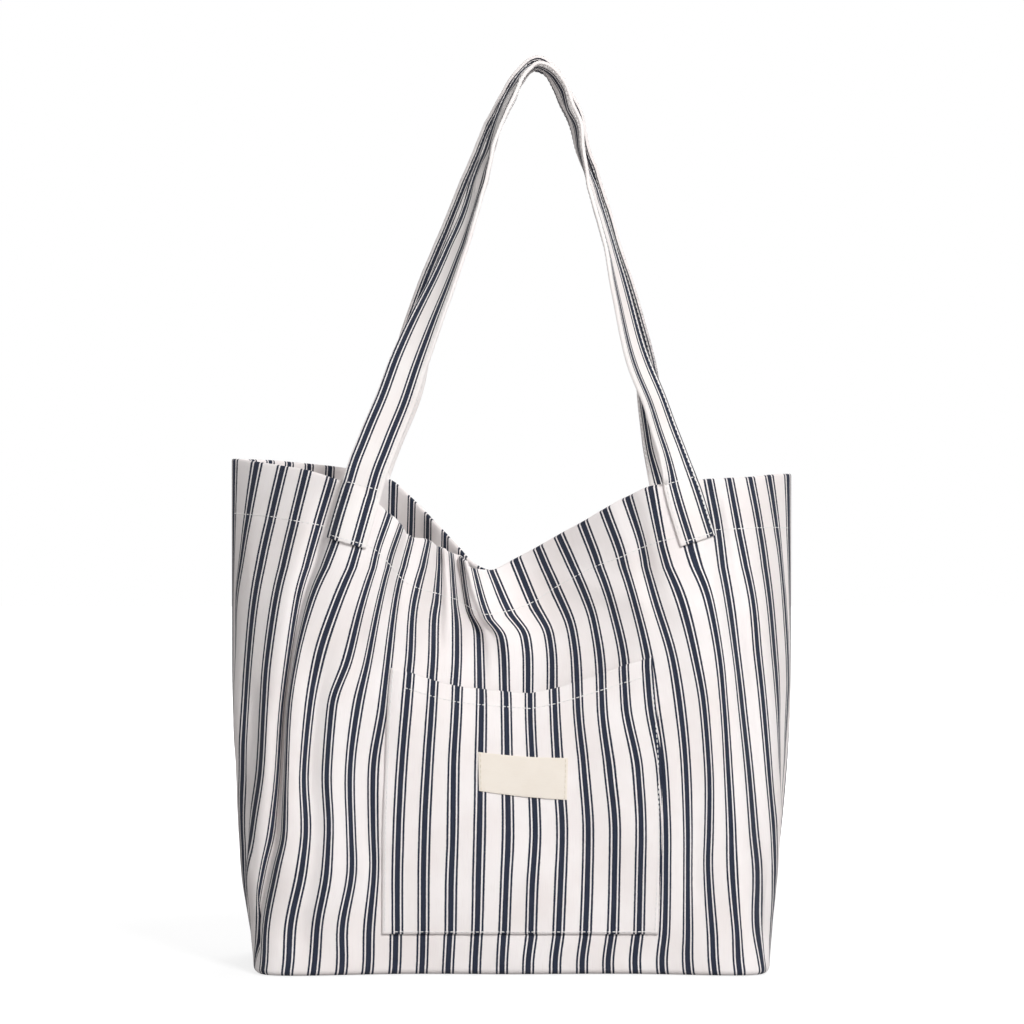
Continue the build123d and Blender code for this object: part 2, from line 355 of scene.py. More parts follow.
# folds: stripe at the top and at the foot, heights between which it runs,
# widths to its left and right, depth outwards
frontFolds = [
    (4.35, 4.50, 300, 20, 0.55, 0.24, -9.0),
    (5.05, 5.20, 290, 60, 0.28, 1.1, 4.5),
    (3.30, 3.30, 260, 60, 0.9, 0.6, 2.0),
    (24.1, 24.4, 300, 10, 0.5, 0.3, -4.5),
    (23.2, 23.3, 300, 60, 0.7, 0.7, 1.8),
    (25.3, 25.4, 300, 60, 0.4, 0.8, 1.6),
    (12.45, 13.1, 290, 208, 0.8, 0.26, -12.0),
    (13.3, 14.1, 285, 210, 0.24, 1.4, 8.0),
    (11.0, 11.2, 288, 222, 0.7, 0.24, -8.0),
    (11.6, 11.8, 285, 225, 0.24, 0.45, 4.0),
    (9.9, 10.0, 300, 225, 0.5, 0.7, 3.4),
    (8.6, 9.0, 308, 235, 0.5, 0.25, -5.0),
    (7.7, 7.9, 312, 225, 0.5, 0.5, 2.4),
    (17.2, 21.0, 262, 238, 2.2, 2.2, 3.0),
    (20.9, 21.0, 310, 235, 0.5, 0.5, -2.6),
    (21.9, 22.0, 310, 200, 0.7, 0.7, 1.5),
    (8.7, 8.6, 200, 20, 0.45, 0.6, -4.2),
    (7.3, 7.3, 190, 30, 0.6, 0.5, 3.0),
    (6.2, 6.4, 190, 30, 0.55, 0.4, -3.0),
    (3.2, 3.2, 150, 60, 0.4, 0.4, 2.0),
    (2.5, 2.6, 170, 60, 0.5, 0.3, -4.5),
    (21.3, 21.4, 190, 50, 0.5, 0.5, -1.4),
    (26.3, 26.2, 250, 40, 0.6, 0.6, -1.6),
    (1.6, 1.6, 260, 50, 0.6, 0.6, 1.4),
]
backFolds = [
    (4.3, 4.5, 300, 30, 0.4, 0.4, -4.0),
    (5.3, 5.5, 290, 50, 0.8, 0.8, 2.0),
    (23.5, 23.6, 300, 20, 0.4, 0.4, -4.0),
    (22.5, 22.5, 290, 50, 0.8, 0.8, 1.8),
    (13.6, 13.4, 270, 190, 0.5, 0.5, -4.0),
    (12.4, 12.0, 280, 180, 0.6, 0.6, 2.5),
    (15.2, 15.6, 280, 180, 0.6, 0.6, 2.2),
    (10.4, 9.8, 290, 170, 0.5, 0.5, -2.6),
    (17.4, 18.2, 290, 170, 0.5, 0.5, -2.4),
    (8.3, 8.2, 200, 40, 0.6, 0.6, 1.6),
    (19.6, 20.0, 200, 30, 0.6, 0.6, 1.8),
    (26.0, 25.6, 180, 50, 0.6, 0.6, -1.6),
    (2.4, 2.6, 200, 60, 0.6, 0.6, -1.8),
]
# soft dents: depth, size across and up the cloth, and step of the seed
dentSizes = [(2.4, 75, 95, 0), (1.2, 26, 46, 7), (0.22, 9, 12, 13)]


# how far the cloth stands out of the plain form
def foldedOut(folds, stripe, height, seed):
    out = np.zeros(np.broadcast(stripe, height).shape)
    for topStripe, footStripe, top, foot, left, right, depth in folds:
        centre = footStripe + (topStripe - footStripe) * np.clip((height - foot) / (top - foot), 0, 1)
        fade = smoothStep((height - foot + 30) / 45) * smoothStep((top + 30 - height) / 30)
        width = np.where(stripe < centre, left, right)
        out += depth * np.exp(-(((stripe - centre) / width) ** 2)) * fade
    flat = np.broadcast_to(stripe, out.shape).ravel() * stripePitch
    tall = np.broadcast_to(height, out.shape).ravel()
    dents = np.zeros(out.size)
    for depth, wide, high, step in dentSizes:
        dents += [depth * noise.noise(Vector((s / wide, z / high, seed + step))) for s, z in zip(flat, tall)]
    return out + dents.reshape(out.shape)


def frontRows(stripes):
    rows = []
    for name, (first, marks) in frontMarks.items():
        knots = []
        for k, mark in enumerate(marks, start=first):
            px, py = mark if isinstance(mark, tuple) else (mark, name)
            u, z = shareAt(px, py, 1)
            knots.append((k, u, z))
        seamZ = knots[0][2], knots[-1][2]
        knots = [k for k in knots if 0.005 < k[1] < 0.995]  # marks on a seam are left out
        at = [body["firstStripe"]] + [k[0] for k in knots] + [body["lastStripe"]]
        us = np.maximum.accumulate([0] + [k[1] for k in knots] + [1])
        us = us + np.arange(len(us)) * 1e-5
        zs = [seamZ[0]] + [k[2] for k in knots] + [seamZ[1]]
        rows.append((easeThrough(stripes, at, us / us[-1]), easeThrough(stripes, at, zs)))
    return rows


def backRows(stripes):
    share = (stripes - body["firstStripe"]) / (body["lastStripe"] - body["firstStripe"])
    knots = [shareAt(px, py, -1) for px, py in backEdge]
    edge = easeThrough(share, [0] + [k[0] for k in knots[1:-1]] + [1], [k[1] for k in knots])
    rows = [(share, edge), (share, edge - body["hemDepth"])]
    return rows + [(share, np.full(len(share), z)) for z in body["backHeights"]]


# points of the cloth from the foot of the turned-in hem, over the edge, down and under the base
def bodyGrid(side, rows, folds, seed):
    stripes = np.linspace(
        body["firstStripe"], body["lastStripe"],
        int(round((body["lastStripe"] - body["firstStripe"]) * body["perStripe"])) + 1,
    )
    marked = rows(stripes)
    edge = marked[0][1] - canvas
    stitch = marked[1][1]
    hem = np.linspace(0, 1, body["hemRows"] + 1)[:, None]
    wall = np.linspace(0, 1, body["wallRows"] + 1)[1:, None]
    turn = np.linspace(0, 1, body["turnRows"] + 1)[1:, None]
    rise = bag["baseRound"]
    heights = np.concatenate((
        edge * (1 - hem) + stitch * hem,
        stitch * (1 - wall) + rise * wall,
        rise * (1 - np.sin(turn * math.pi / 2)) + 0 * edge,
    ))
    shares = np.empty_like(heights)
    for column in range(len(stripes)):
        knots = [-z[column] for _, z in marked] + [0.0]
        values = [u[column] for u, _ in marked] + [marked[-1][0][column]]
        shares[:, column] = easeThrough(-heights[:, column], knots, values)
    for _ in range(3):
        shares[1:-1] = (shares[:-2] + 2 * shares[1:-1] + shares[2:]) / 4
    straight = shares.copy()  # stripes run calmly down the sides of the bag
    for _ in range(body["calmPasses"]):
        straight[1:-1] = (straight[:-2] + 2 * straight[1:-1] + straight[2:]) / 4
    fromSeam = np.minimum(stripes - stripes[0], stripes[-1] - stripes)
    shares = mix(straight, shares, smoothStep((fromSeam - body["calmTo"]) / body["calmFade"]))
    field = bagField(shares, heights)
    out = foldedOut(folds, stripes[None, :], heights, seed)
    out *= smoothStep(shares / 0.03) * smoothStep((1 - shares) / 0.03)
    out *= smoothStep((heights - 1) / 25)
    rounded = 1 - np.sqrt(np.clip(1 - ((rise - heights) / rise) ** 2, 0, 1))
    inset = np.where(heights < rise, rise * rounded, 0)
    # folds stand straight out to the front, and along the surface's own direction only near the side seams
    aside = field[..., 2] * (1 - smoothStep((np.abs(field[..., 3]) - 0.25) / 0.3))
    x = field[..., 0] + aside / np.hypot(aside, field[..., 3]) * out + field[..., 2] * -inset
    y = field[..., 1] + field[..., 3] / np.hypot(aside, field[..., 3]) * out + field[..., 3] * -inset
    y = np.minimum(y, -body["seamGap"])
    outside = np.stack((x, side * y, heights), axis=2)
    run = unit(np.gradient(outside[..., :2], axis=1))
    normal = np.stack((side * run[..., 1], -side * run[..., 0], 0 * x), axis=2)
    count = body["hemRows"] + 1
    lean = 2 * canvas + gap
    inside = (outside[:count] - normal[:count] * lean)[::-1]
    bends = []
    for i in range(1, body["foldRows"] + 1):
        angle = math.pi * (1 - i / (body["foldRows"] + 1))
        middle = outside[0] - normal[0] * lean / 2
        outward = normal[0] * lean / 2 * math.cos(angle)
        bends.append(middle + outward + np.array((0, 0, lean / 2)) * math.sin(angle))
    under = []
    for i in range(1, body["baseRows"] + 1):
        row = outside[-1].copy()
        row[:, 1] *= 1 - i / body["baseRows"]
        row[:, 1] += side * -body["seamGap"]
        row[:, 2] = 0.0
        under.append(row)
    grid = np.concatenate((inside, np.array(bends), outside, np.array(under)))
    down = runOf(grid[:, len(stripes) // 2])
    down -= down[count + body["foldRows"]]
    return stripes, down, grid


# a flat grid drawn out to its points, with the ticking's own coordinates in mm
def clothMesh(name, stripes, down, grid, cut):
    rowCount, columnCount = grid.shape[:2]
    work = bmesh.new()
    bmesh.ops.create_grid(
        work, x_segments=columnCount - 1, y_segments=rowCount - 1, size=1, calc_uvs=True,
    )
    layer = work.loops.layers.uv.verify()
    work.verts.ensure_lookup_table()
    places = {}
    for vertex in work.verts:
        column = int(round((vertex.co.x + 1) / 2 * (columnCount - 1)))
        row = int(round((1 - vertex.co.y) / 2 * (rowCount - 1)))
        places[vertex.index] = (row, column)
    for face in work.faces:
        for loop in face.loops:
            row, column = places[loop.vert.index]
            across = stripes[row, column] if stripes.ndim == 2 else stripes[column]
            loop[layer].uv = (across * stripePitch, down[row])
    for vertex in work.verts:
        row, column = places[vertex.index]
        vertex.co = Vector(grid[row, column] * metre)
    if cut is not None:
        gone = [f for f in work.faces if cut(*np.mean([places[v.index] for v in f.verts], axis=0))]
        bmesh.ops.delete(work, geom=gone, context="FACES")
    mesh = meshOf(name, work)
    mesh.shade_smooth()
    return placed(name, mesh)


def solidified(made, thickness, offset=-1.0, bevel=0.0):
    solid = made.modifiers.new("thickness", "SOLIDIFY")
    solid.thickness = thickness * metre
    solid.offset = offset
    solid.use_even_offset = False
    if bevel:
        edge = made.modifiers.new("edge", "BEVEL")
        edge.width = bevel * metre
        edge.segments = 2
        edge.limit_method = "ANGLE"
        edge.angle_limit = math.radians(50)
    return made


def applied(made):
    bpy.context.view_layer.update()
    graph = bpy.context.evaluated_depsgraph_get()
    mesh = bpy.data.meshes.new_from_object(made.evaluated_get(graph))
    made.modifiers.clear()
    made.data = mesh
    return made


def treeOf(made):
    mesh = made.data
    return BVHTree.FromPolygons([v.co for v in mesh.vertices], [p.vertices for p in mesh.polygons])


def bodyCloth(name, side, rows, folds, seed):
    stripes, down, grid = bodyGrid(side, rows, folds, seed)
    firstUnder = grid.shape[0] - body["baseRows"]
    lastWall = grid[firstUnder - 1]
    sideColumns = np.abs(lastWall[:, 1]) < bag["halfDepth"] - body["cutIn"]

    def overSide(row, column):
        return row > firstUnder - 1 and (sideColumns[int(column)] or sideColumns[int(column) + 1])

    made = clothMesh(name, stripes, down, grid, overSide)
    if side < 0:
        flipped = bmesh.new()
        flipped.from_mesh(made.data)
        bmesh.ops.reverse_faces(flipped, faces=flipped.faces)
        flipped.to_mesh(made.data)
        flipped.free()
    return made, grid


frontCloth, frontGrid = bodyCloth("frontCloth", 1, frontRows, frontFolds, 3.0)
backCloth, backGrid = bodyCloth("backCloth", -1, backRows, backFolds, 21.0)
hemRow = 2 * (body["hemRows"] + 1) + body["foldRows"] - 1  # level with the foot of the hem
frontTree = treeOf(frontCloth)
backTree = treeOf(backCloth)
print("body cloths made")


# the point over a cloth that shows at a pixel, or the nearest one where the ray misses the cloth
def laidOn(tree, px, py, lift):
    ray = Vector(rayThrough(px, py)).normalized()
    start = Vector(eye * metre)
    hit, normal, _, _ = tree.ray_cast(start, ray)
    if hit is None:
        hit, normal, _, _ = tree.find_nearest(Vector(placeAt(px, py, -50) * metre))
    if normal.dot(ray) > 0:
        normal = -normal
    return np.array(hit / metre + normal * lift)


pocket = {
    "columns": 96,
    "rows": 110,
    "gape": 8.0,
    "hemDepth": 11.0,
    "firstStripe": 9.99,
    "stripePixels": 25.5,
    "mouthRow": 675,
    "mouth": [
        (391, 668), (409, 672), (433, 680), (457, 686), (481, 689), (505, 691), (530, 693),
        (554, 688), (577, 681), (601, 673), (624, 665), (646, 659), (653, 657),
    ],
    "sides": {  # row of the camera's view: left edge, right edge, then each stripe
        668: (391, 653, 409, 433, 457, 481, 505, 530, 554, 577, 601, 624, 647),
        705: (388, 657, 406, 431, 456, 481, 506, 530, 555, 578, 602, 626, 650),
        770: (385, 661.5, 401, 427, 453, 480, 507, 532.6, 558, 584, 609.5, 638, 661),
        832: (383, 662, 398, 424, 452.6, 479, 508, 535, 562, 588, 615, 641, 665),
        885: (382.5, 660, 397, 423, 451, 478, 506, 532, 560, 587, 614, 640, 665),
        934: (382, 658, 397, 423, 450.5, 477, 504, 530.5, 558, 585, 612.6, 639, 664),
    },
}


def pocketGrid():
    rowsAt = list(pocket["sides"])
    table = np.array(list(pocket["sides"].values()), float)
    mouthX, mouthY = np.array(pocket["mouth"], float).T
    foot = rowsAt[-1]
    stripeCount = table.shape[1] - 2
    grid = np.empty((pocket["rows"] + 1, pocket["columns"] + 1, 3))
    stripes = np.empty(grid.shape[:2])
    below = np.linspace(0, 1, pocket["rows"] + 1)
    for column in range(pocket["columns"] + 1):
        a = column / pocket["columns"]
        top = float(np.interp(mix(mouthX[0], mouthX[-1], a), mouthX, mouthY))
        py = mix(top, foot, below)
        marks = np.array([easeThrough(py, rowsAt, table[:, i]) for i in range(table.shape[1])])
        px = mix(marks[0], marks[1], a)
        gape = pocket["gape"] * math.sin(math.pi * a) ** 0.8 * smoothStep(1 - below * 1.6)
        for row in range(pocket["rows"] + 1):
            grid[row, column] = laidOn(frontTree, px[row], py[row], gap + canvas)
            stripes[row, column] = pocket["firstStripe"] + np.interp(
                px[row], marks[2:, row], np.arange(stripeCount),
                left=(px[row] - marks[2, row]) / pocket["stripePixels"],
                right=stripeCount - 1 + (px[row] - marks[-1, row]) / pocket["stripePixels"],
            )
        grid[:, column, 1] -= gape
    down = below * (foot - pocket["mouthRow"]) * camera["mmPerPixel"]
    return stripes, down, grid


pocketStripes, pocketDown, pocketPoints = pocketGrid()
for _ in range(2):  # the pocket bridges the small folds under it
    pocketPoints[1:-1, 1:-1, 1] = (
        pocketPoints[:-2, 1:-1, 1] + pocketPoints[2:, 1:-1, 1]
        + pocketPoints[1:-1, :-2, 1] + pocketPoints[1:-1, 2:, 1]
    ) / 4
pocketCloth = clothMesh("pocketCloth", pocketStripes, pocketDown, pocketPoints, None)
pocketTree = treeOf(pocketCloth)
print("pocket made")

label = {
    "corners": ((478, 752), (568, 758), (567, 800), (479, 791)),
    "columns": 40,
    "rows": 20,
    "size": (60, 28),
    "thickness": 0.6,
    "bevel": 0.12,
    "sag": 1.6,
    "puff": 0.5,
    "wave": 0.15,
    "clear": 0.1,
}


def labelGrid():
    topLeft, topRight, footRight, footLeft = (np.array(c, float) for c in label["corners"])
    grid = np.empty((label["rows"] + 1, label["columns"] + 1, 3))
    for row in range(label["rows"] + 1):
        for column in range(label["columns"] + 1):
            a, b = column / label["columns"], row / label["rows"]
            px, py = mix(mix(topLeft, topRight, a), mix(footLeft, footRight, a), b)
            py += label["sag"] * math.sin(math.pi * a) * (1 - b * 0.3)
            lift = label["puff"] * math.sin(math.pi * a) + label["wave"] * math.sin(9 * a + 2 * b)
            lift = label["thickness"] + label["clear"] + max(lift, 0)
            grid[row, column] = laidOn(pocketTree, px, py, lift)
    wide, high = label["size"]
    down = np.linspace(0, high, label["rows"] + 1)
    return np.linspace(0, wide / stripePitch, label["columns"] + 1), down, grid


labelAcross, labelDown, labelPoints = labelGrid()
pocketLabel = clothMesh("pocketLabel", labelAcross, labelDown, labelPoints, None)

strap = {
    "width": 27.0,
    "endWidth": 24.3,  # what it narrows to on the right
    "thickness": 2.4,
    "bevel": 0.7,
    "across": 12,
    "along": 300,
    "baseDepth": 60.0,
    "topDepth": 14.5,
    "bend": 326.0,
    "rise": 275.0,
    "cup": 2.2,
    "crumpleFrom": 440,  # height at which the crumple starts, and the height over which it grows
    "crumpleOver": 120,
    "crumpleTurn": 11,
    "ripple": 2.0,
    "laidBelow": 14,  # height over the bend at which it is free of the cloth
    "laidOver": 12,  # height over which it comes free
    "laidLift": 1.08,
    "pitch": 15.5,  # stripes are drawn in a little along the strap
    "shift": (1.3, 2.3),  # how far they sit off the middle line at each end
    # the middle line's column and row in the camera's view, then its turn towards edge-on, in degrees
    "front": [
        (346.5, 543, 0), (354, 516, 0), (361.5, 490, 0), (369, 465, 0), (375, 450, 2),
        (383, 430, 6), (395.5, 400, 12), (406, 370, 18), (417.5, 340, 28), (430, 310, 40),
        (443, 280, 50), (455, 250, 57), (470, 210, 65), (481.5, 170, 72), (488.5, 150, 75),
        (495, 130, 76), (500.5, 115, 77), (507, 100, 77), (512, 90, 77), (518, 80, 77),
        (526, 69.5, 79), (536.5, 64, 88), (549, 70, 100), (556.5, 80, 104), (562, 90, 106),
        (566, 100, 106), (573, 115, 105), (578, 130, 103), (581.5, 150, 97), (588.5, 170, 86),
        (594, 190, 77), (600, 210, 77), (606, 230, 76), (611.5, 250, 74), (618.5, 280, 66),
        (625.5, 310, 61), (632.5, 340, 56), (642, 370, 51), (654.5, 400, 50), (664.5, 430, 45),
        (671.5, 450, 41), (676, 465, 34), (681, 484, 18), (689, 512, 0), (698, 541, 0),
    ],
    "back": [
        (352, 538, 0), (360, 510, 0), (367, 484, 0), (376, 458, 2), (387, 430, 8),
        (400, 400, 16), (409, 370, 26), (415, 340, 38), (423, 310, 48), (432, 280, 56),
        (443, 250, 62), (458, 210, 67), (473, 170, 72), (480.5, 150, 75), (488, 130, 76),
        (496, 115, 77), (504, 100, 77), (510, 90, 77), (516, 80, 77), (525, 69, 77),
        (536, 63, 77), (549.5, 69.5, 77), (558, 80, 77), (563.5, 90, 77), (568.5, 100, 76),
        (575.5, 115, 75), (580, 130, 76), (584.5, 150, 77), (591.5, 170, 77), (598, 190, 77),
        (604, 210, 77), (609.5, 230, 76), (615.5, 250, 74), (624.5, 280, 70), (632.5, 310, 66),
        (640, 340, 62), (646.5, 370, 58), (650, 400, 52), (654.5, 430, 46), (658, 450, 41),
        (662, 465, 32), (667, 484, 14), (674, 508, 0), (681, 535, 0),
    ],
}


# side is 1 for the front strap
def strapGrid(side, stations, tree):
    line = []
    for px, py, turn in stations:
        depth = -side * strap["baseDepth"]
        for _ in range(3):
            point = placeAt(px, py, depth)
            share = min(max((point[2] - strap["bend"]) / strap["rise"], 0), 1)
            depth = -side * mix(strap["baseDepth"], strap["topDepth"], share)
        line.append((*point, turn))
    line = np.array(line)
    curve = evenly(smoothCurve(line[:, :3], 4 * strap["along"]), strap["along"] + 1)
    along = runOf(curve)
    marks = runOf(line[:, :3])
    turns = np.radians(easeThrough(along, marks * along[-1] / marks[-1], line[:, 3]))
    crumple = np.array([
        noise.noise(Vector((a / 27, side * 5, 2))) + 0.4 * noise.noise(Vector((a / 12, 8, side)))
        for a in along
    ])
    crumple *= smoothStep((curve[:, 2] - strap["crumpleFrom"]) / strap["crumpleOver"])
    turns = turns + np.radians(strap["crumpleTurn"]) * crumple
    tangent = unit(np.gradient(curve, axis=0))
    outer = unit(np.cross(tangent, (0.0, 1.0, 0.0)))
    face = side * np.cross(tangent, outer)
    cosine, sine = np.cos(turns)[:, None], np.sin(turns)[:, None]
    wide = outer * cosine - face * sine
    proud = outer * sine + face * cosine
    places = np.linspace(-1, 1, strap["across"] + 1)
    grid = np.empty((strap["along"] + 1, strap["across"] + 1, 3))
    narrowed = smoothStep(along / along[-1] * 4 - 2.6)  # from 65% to 90% of the way
    half = mix(strap["width"], strap["endWidth"], narrowed)[:, None] / 2
    for i, place in enumerate(places):
        cup = strap["cup"] * sine * (1 - place**2)
        ripple = strap["ripple"] * (crumple * math.sin(5 * place + 1))[:, None]
        grid[:, i] = curve + wide * place * half - proud * (cup + ripple)
    lift = gap + strap["thickness"] / 2
    for row in range(strap["along"] + 1):  # the ends are laid on the cloth
        blendIn = float(smoothStep((strap["bend"] + strap["laidBelow"] - curve[row, 2]) / strap["laidOver"]))
        if blendIn <= 0:
            continue
        for column in range(strap["across"] + 1):
            x, y, z = grid[row, column]
            start = Vector((x, -side * 2 * bag["halfDepth"], min(z, strap["bend"] - 2))) * metre
            hit, normal, _, _ = tree.ray_cast(start, Vector((0, side, 0)))
            if hit is not None:
                laid = hit.y / metre - side * lift * strap["laidLift"]
                grid[row, column, 1] = mix(y, laid, blendIn)
    return along, places, grid


def strapPiece(name, side, tree):
    along, places, grid = strapGrid(side, strap["front" if side > 0 else "back"], tree)
    shift = np.linspace(*strap["shift"], strap["along"] + 1)[:, None]
    across = (places[None, :] * strap["width"] / 2 - shift) / strap["pitch"] + 0.5
    made = clothMesh(name, across, along, grid, None)
    applied(solidified(made, strap["thickness"], 0.0, strap["bevel"]))
    made.data.shade_smooth()
    return made, grid


frontStrap, frontStrapPoints = strapPiece("frontStrap", 1, frontTree)
backStrap, backStrapPoints = strapPiece("backStrap", -1, backTree)
print("straps made")

tape = {
    "width": 8.0,
    "thickness": 2.0,
    "bevel": 0.6,
    "columns": 4,
    "foot": 9.2,
    "top": 290.0,
    "inset": 2.2,  # from the side seam of the outer cloth
    "cornerIn": 152.8,  # where the corner tapes lie, and half their length
    "cornerOut": 160.8,
    "cornerHalf": 59,
    "baseHalf": 152.4,
}


# a bound seam: a strip between two lines of points, padded to its thickness
def tapePiece(name, edges, rows):
    first, second = np.array(edges[0], float), np.array(edges[1], float)
    grid = np.empty((rows + 1, tape["columns"] + 1, 3))
    lines = evenly(first, rows + 1), evenly(second, rows + 1)
    for i in range(tape["columns"] + 1):
        grid[:, i] = mix(lines[0], lines[1], i / tape["columns"])
    across = np.linspace(0, tape["width"] / stripePitch, tape["columns"] + 1)
    made = clothMesh(name, across, np.linspace(0, 300, rows + 1), grid, None)
    return applied(solidified(made, tape["thickness"], 0.0, tape["bevel"]))


def sideTape(hand):
    heights = np.linspace(tape["foot"], tape["top"], 12)
    outer = np.array([-levelCorners(h)[0][0] for h in heights]) - tape["inset"] - canvas
    edges = outer, outer - tape["width"]
    return [[(hand * x, 0, h) for x, h in zip(edge, heights)] for edge in edges]


floorTape = canvas + gap + tape["thickness"] / 2


# the two long edges of a tape that lies on the floor of the bag, between two opposite corners
def floorStrip(low, high, alongX):
    x, y = (high[0], low[1]) if alongX else (low[0], high[1])
    u, v = (low[0], high[1]) if alongX else (high[0], low[1])
    return [[(*low, floorTape), (x, y, floorTape)], [(u, v, floorTape), (*high, floorTape)]]


near, far, ends = tape["cornerIn"], tape["cornerOut"], tape["cornerHalf"]
baseEnd, baseWide = tape["baseHalf"], tape["width"] / 2
tapes = {
    "leftSeamTape": (sideTape(-1), 60, "left_seam_binding"),
    "rightSeamTape": (sideTape(1), 60, "right_seam_binding"),
    "leftCornerTape": (floorStrip((-far, -ends), (-near, ends), False), 30, "left_corner_binding"),
    "rightCornerTape": (floorStrip((near, -ends), (far, ends), False), 30, "right_corner_binding"),
    "baseSeamTape": (floorStrip((-baseEnd, -baseWide), (baseEnd, baseWide), True), 60, "bottom_seam_binding"),
}
tapePieces = {name: tapePiece(name, edges, rows) for name, (edges, rows, _) in tapes.items()}
print("seam tapes made")

stitch = {
    "length": 2.5,
    "pitch": 3.3,
    "width": 0.75,
    "height": 0.55,
    "lift": 0.1,
    "boxRow": 17,  # row of a strap at which its sewn end is stitched across
}


# threads along lines of (points, outward directions): one small ball, repeated and drawn out at each place
def stitchPiece(name, lines):
    frames = []
    for points, outwards in lines:
        points, outwards = np.array(points, float), np.array(outwards, float)
        along = runOf(points)
        count = max(int(along[-1] / stitch["pitch"]), 1)
        middle = (np.arange(count) + 0.5) * along[-1] / count

        def pick(at, values):
            return np.stack([np.interp(at, along, values[:, i]) for i in range(3)], axis=1)

        first, last = (pick(middle + d * stitch["length"] / 2, points) for d in (-1, 1))
        run = unit(last - first)
        side = unit(np.cross(run, pick(middle, outwards)))
        frames.append(np.stack((
            side * stitch["width"], np.cross(side, run) * stitch["height"],
            run * stitch["length"], (first + last) / 2,
        ), axis=1))
    frames = np.concatenate(frames)
    work = bmesh.new()
    bmesh.ops.create_uvsphere(work, u_segments=6, v_segments=4, radius=0.5)
    ball = np.array([(*v.co, 1.0) for v in work.verts])
    made = placed(name, meshOf(name, work))
    threads = made.modifiers.new("threads", "ARRAY")
    threads.count = len(frames)
    applied(made)
    places = np.einsum("vi,fij->fvj", ball, frames) * metre
    made.data.vertices.foreach_set("co", places.ravel())
    made.data.update()
    made.data.shade_smooth()
    return made


# directions out of a grid, turned so that they face side * -y at a given row and column
def gridNormals(grid, row, column, side=1):
    normals = unit(np.cross(np.gradient(grid, axis=0), np.gradient(grid, axis=1)))
    return -normals if normals[row, column, 1] * side > 0 else normals


frontNormals = gridNormals(frontGrid, hemRow + 20, 100)
backNormals = gridNormals(backGrid, hemRow + 20, 100, -1)
pocketNormals = gridNormals(pocketPoints, 50, 50)


def raised(grid, normals, *lines):
    return [
        (grid[rows, columns] + normals[rows, columns] * stitch["lift"], normals[rows, columns])
        for rows, columns in lines
    ]


hemLine = hemRow - 1, np.arange(2, frontGrid.shape[1] - 2)
frontHemStitches = stitchPiece("frontHemStitches", raised(frontGrid, frontNormals, hemLine))
backHemStitches = stitchPiece("backHemStitches", raised(backGrid, backNormals, hemLine))
mouthRow = int(round(pocket["hemDepth"] / pocketDown[-1] * pocket["rows"]))
sewnRow = pocket["rows"] - 1
allRows = np.arange(0, pocket["rows"])
pocketStitches = stitchPiece("pocketStitches", raised(
    pocketPoints, pocketNormals,
    (mouthRow, np.arange(5, pocket["columns"] - 3)), (sewnRow, np.arange(4, pocket["columns"] - 1)),
    (allRows, 1), (allRows, pocket["columns"] - 1),
))
labelNormals = gridNormals(labelPoints, 10, 20)
labelRows = np.arange(0, label["rows"] + 1)
labelStitches = stitchPiece("labelStitches", raised(
    labelPoints, labelNormals, (labelRows, 1), (labelRows, label["columns"] - 1),
))


def strapStitches(name, grid, side):
    half = strap["thickness"] / 2 + 0.05
    normals = gridNormals(grid, strap["along"] // 6, strap["across"] // 2, side)
    rows = np.arange(2, strap["along"] - 1)
    lines = []
    for column in (1, strap["across"] - 1):
        lines.append((grid[rows, column] + normals[rows, column] * half, normals[rows, column]))
        lines.append((grid[rows, column] - normals[rows, column] * half, -normals[rows, column]))
    columns = np.arange(1, strap["across"])
    for row in (1, stitch["boxRow"], strap["along"] - 1, strap["along"] - 1 - stitch["boxRow"]):
        lines.append((grid[row, columns] + normals[row, columns] * half, normals[row, columns]))
    return stitchPiece(name, lines)


frontStrapStitches = strapStitches("frontStrapStitches", frontStrapPoints, 1)
backStrapStitches = strapStitches("backStrapStitches", backStrapPoints, -1)
print("stitches made")

# thickness of the flat cloths, now that what lies on them is placed
for made in (frontCloth, backCloth, pocketCloth):
    applied(solidified(made, canvas, -1.0))
applied(solidified(pocketLabel, label["thickness"], -1.0, label["bevel"]))


def colour(red, green, blue):
    shares = [v / 255 for v in (red, green, blue)]
    return (*(v / 12.92 if v <= 0.04045 else ((v + 0.055) / 1.055) ** 2.4 for v in shares), 1.0)


class Value:
    def __init__(self, shader, socket):
        self.shader, self.socket = shader, socket

    def maths(self, operation, other=None):
        return self.shader.value("ShaderNodeMath", {"operation": operation}, [self, other])

    def __add__(self, other):
        return self.maths("ADD", other)

    def __sub__(self, other):
        return self.maths("SUBTRACT", other)

    def __rsub__(self, other):
        return self.shader.value("ShaderNodeMath", {"operation": "SUBTRACT"}, [other, self])

    def __mul__(self, other):
        return self.maths("MULTIPLY", other)

    def __truediv__(self, other):
        return self.maths("DIVIDE", other)

    __radd__ = __add__
    __rmul__ = __mul__


